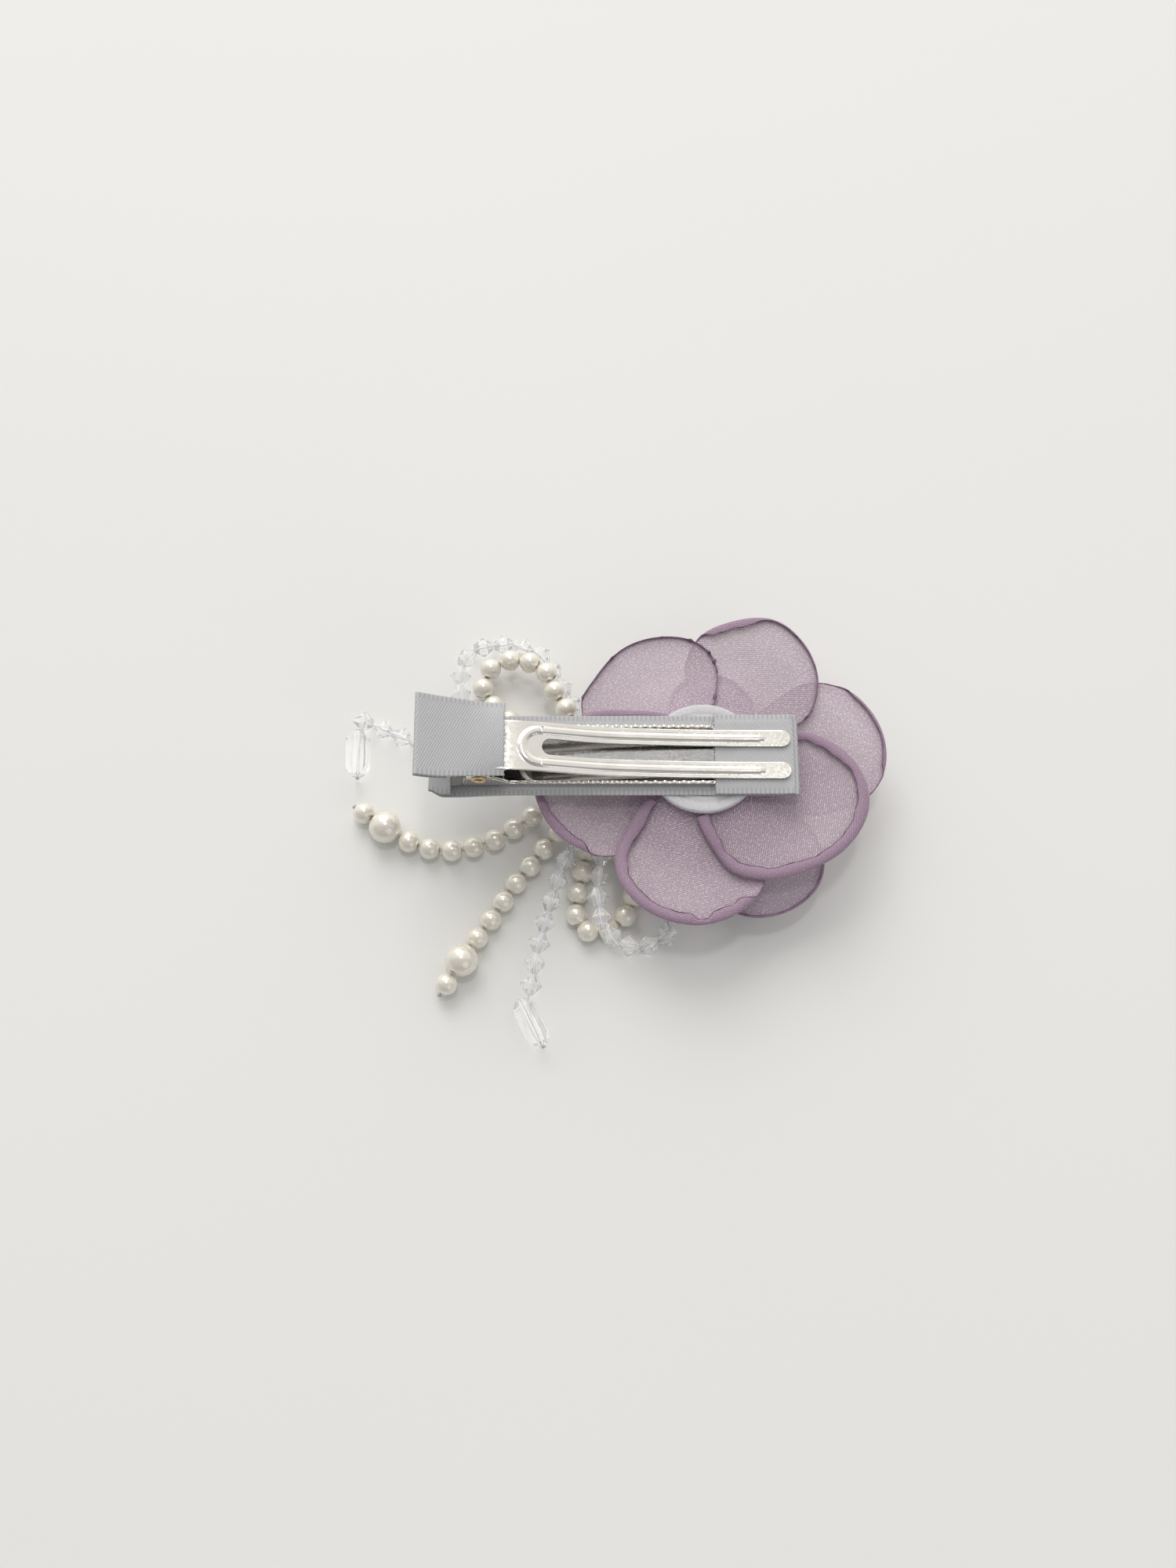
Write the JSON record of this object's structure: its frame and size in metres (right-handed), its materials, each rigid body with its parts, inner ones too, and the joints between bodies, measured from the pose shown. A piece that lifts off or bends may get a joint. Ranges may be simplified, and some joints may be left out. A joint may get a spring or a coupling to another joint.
{
  "type": "flower hair clip",
  "caption": "Sprung double-prong hair clip with a ribbon wrap, an organza petal flower and a bow of strung pearl and crystal beads with hanging tails.",
  "frame": {"origin": "middle of the clip and flower's plan outline, at the level of the flower's front face, which lies on the table", "axes": "+X from the handles to the prong tips, +Y across the clip, +Z from the flower's face up through the back of the clip"},
  "size_m": [0.1, 0.0796, 0.0276],
  "materials": {
    "clip_steel": "bright nickel plate",
    "spring_wire": "bronzed spring wire",
    "satin_ribbon": "satin twill",
    "white_felt": "felt",
    "petal_organza": "sheer sparkly organza",
    "inner_organza": "sheer sparkly organza",
    "ivory_pearl": "pearl",
    "clear_crystal": "cut",
    "bead_thread": "clear monofilament",
    "binding_thread": "sewing thread"
  },
  "bodies": {
    "clip_base": {"base_arm": "clip_steel", "hinge_spring": "spring_wire", "ribbon_lower": "satin_ribbon", "felt_disc": "white_felt", "outer_petal_1": "petal_organza", "outer_petal_2": "petal_organza", "outer_petal_3": "petal_organza", "outer_petal_4": "petal_organza", "outer_petal_5": "petal_organza", "outer_petal_6": "petal_organza", "inner_petal_1": "inner_organza", "inner_petal_2": "inner_organza", "inner_petal_3": "inner_organza", "inner_petal_4": "inner_organza", "inner_petal_5": "inner_organza", "centre_pearl": "ivory_pearl", "centre_ring": "ivory_pearl", "bow_knot": "binding_thread", "pearl_loop_up_thread": "bead_thread", "pearl_loop_up_beads": "ivory_pearl", "pearl_loop_low_thread": "bead_thread", "pearl_loop_low_beads": "ivory_pearl", "crystal_loop_up_thread": "bead_thread", "crystal_loop_up_beads": "clear_crystal", "crystal_loop_low_thread": "bead_thread", "crystal_loop_low_beads": "clear_crystal"},
    "prong_lever": {"prong_arm": "clip_steel", "ribbon_upper": "satin_ribbon"},
    "pearl_tail_left": {"pearl_tail_left_thread": "bead_thread", "pearl_tail_left_beads": "ivory_pearl", "pearl_tail_left_drop": "ivory_pearl"},
    "pearl_tail_low": {"pearl_tail_low_thread": "bead_thread", "pearl_tail_low_beads": "ivory_pearl", "pearl_tail_low_drop": "ivory_pearl"},
    "crystal_tail_low": {"crystal_tail_low_thread": "bead_thread", "crystal_tail_low_beads": "clear_crystal", "crystal_tail_low_drop": "clear_crystal"},
    "crystal_tail_left": {"crystal_tail_left_thread": "bead_thread", "crystal_tail_left_beads": "clear_crystal", "crystal_tail_left_drop": "clear_crystal"}
  },
  "joints": [
    {"name": "jaw_hinge", "type": "hinge", "parent": "clip_base", "child": "prong_lever", "pos_m": [-0.03148, 0.00059, 0.01984], "axis": [0, -1, 0], "range_deg": [0, 38], "stiffness_Nm_per_rad": 0.03, "springref_deg": -20.05, "deforming": ["hinge_spring"]},
    {"name": "pearl_tail_left_swing", "type": "hinge", "parent": "clip_base", "child": "pearl_tail_left", "pos_m": [-0.01178, -0.00191, 0.0056], "axis": [0, 0, 1], "range_deg": [-6, 6]},
    {"name": "pearl_tail_low_swing", "type": "hinge", "parent": "clip_base", "child": "pearl_tail_low", "pos_m": [-0.01178, -0.00191, 0.0056], "axis": [0, 0, 1], "range_deg": [-5, 5]},
    {"name": "crystal_tail_low_swing", "type": "hinge", "parent": "clip_base", "child": "crystal_tail_low", "pos_m": [-0.01178, -0.00191, 0.0056], "axis": [0, 0, 1], "range_deg": [-5, 3]},
    {"name": "crystal_tail_left_swing", "type": "hinge", "parent": "clip_base", "child": "crystal_tail_left", "pos_m": [-0.01178, -0.00191, 0.0056], "axis": [0, 0, 1], "range_deg": [-2, 6]}
  ]
}
